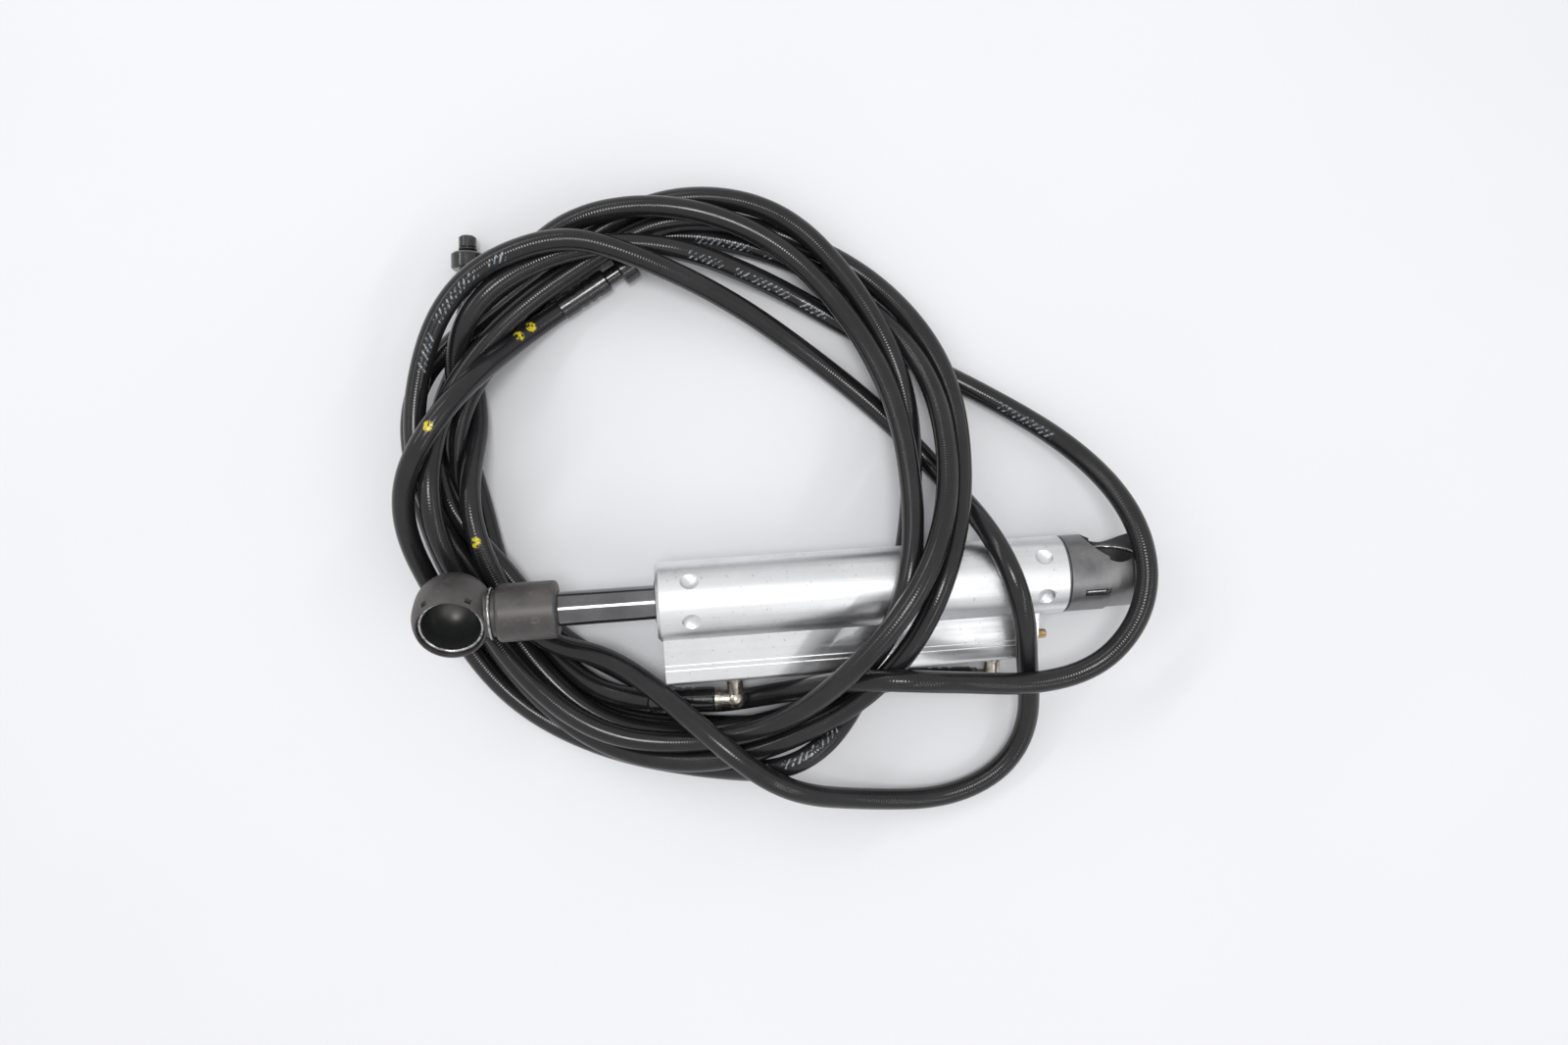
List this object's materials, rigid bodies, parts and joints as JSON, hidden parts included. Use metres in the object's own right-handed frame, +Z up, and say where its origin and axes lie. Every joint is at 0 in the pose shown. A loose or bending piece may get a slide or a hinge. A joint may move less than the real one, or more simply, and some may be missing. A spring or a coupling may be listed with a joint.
{
  "type": "double-acting hydraulic cylinder",
  "caption": "Small double-acting hydraulic cylinder with a ball socket at each end, elbow ports and long flexible hoses lying in a loose coil.",
  "frame": {"origin": "middle of the underside of the cylinder as it lies, without its hoses", "axes": "+X along the cylinder towards its rear end cap, +Z up from the surface it lies on; the ports face -Y"},
  "size_m": [0.2257, 0.1927, 0.042],
  "materials": {
    "barrel_aluminium": "extruded, satin, lightly scratched",
    "dark_steel": "dark phosphated satin",
    "socket_steel": "dark phosphated, rims worn brighter",
    "rod_chrome": "dark polished",
    "inner_aluminium": "turned",
    "seal_rubber": "smooth",
    "guide_plastic": "moulded",
    "spring_wire": "bright drawn",
    "plug_brass": "dull",
    "ferrule_black": "black satin",
    "nickel_steel": "nickel plated, slightly tarnished",
    "hose_rubber": "ribbed, semi-gloss"
  },
  "bodies": {
    "barrel": {"barrel": "barrel_aluminium", "channel_plug": "plug_brass", "end_cap_o_ring": "seal_rubber", "front_elbow": "nickel_steel", "front_elbow_o_ring": "seal_rubber", "front_gland": "inner_aluminium", "front_hose_ferrule": "ferrule_black", "gland_o_ring": "seal_rubber", "hose_a_connector": "ferrule_black", "hose_a_connector_o_ring": "seal_rubber", "hose_a_end_ferrule": "ferrule_black", "hose_a_lead": "hose_rubber", "hose_a_lower_loop": "hose_rubber", "hose_a_outer_loop": "hose_rubber", "hose_a_tail": "hose_rubber", "hose_b_connector": "ferrule_black", "hose_b_connector_o_ring": "seal_rubber", "hose_b_end_ferrule": "ferrule_black", "hose_b_lead": "hose_rubber", "hose_b_tail": "hose_rubber", "hose_coil": "hose_rubber", "rear_elbow": "nickel_steel", "rear_elbow_o_ring": "seal_rubber", "rear_end_cap": "dark_steel", "rear_hose_ferrule": "ferrule_black", "rear_safety_wire": "spring_wire", "rear_spring_ring": "spring_wire", "rod_seal": "seal_rubber", "rod_wiper": "seal_rubber"},
    "piston": {"piston": "inner_aluminium", "piston_seal": "seal_rubber", "piston_guide_ring": "guide_plastic"},
    "rod": {"rod": "rod_chrome", "piston_nut": "dark_steel", "rod_end_socket": "socket_steel", "rod_end_spring_ring": "spring_wire", "neck_wire": "spring_wire"}
  },
  "joints": [
    {"name": "rod_slide", "type": "slide", "parent": "barrel", "child": "piston", "axis": [-0.9954, 0, 0.0958], "range_m": [-0.027, 0.0435]},
    {"name": "rod_spin", "type": "hinge", "parent": "piston", "child": "rod", "pos_m": [-0.03762, 0.01089, 0.02456], "axis": [-0.9954, 0, 0.0958], "continuous": true}
  ]
}
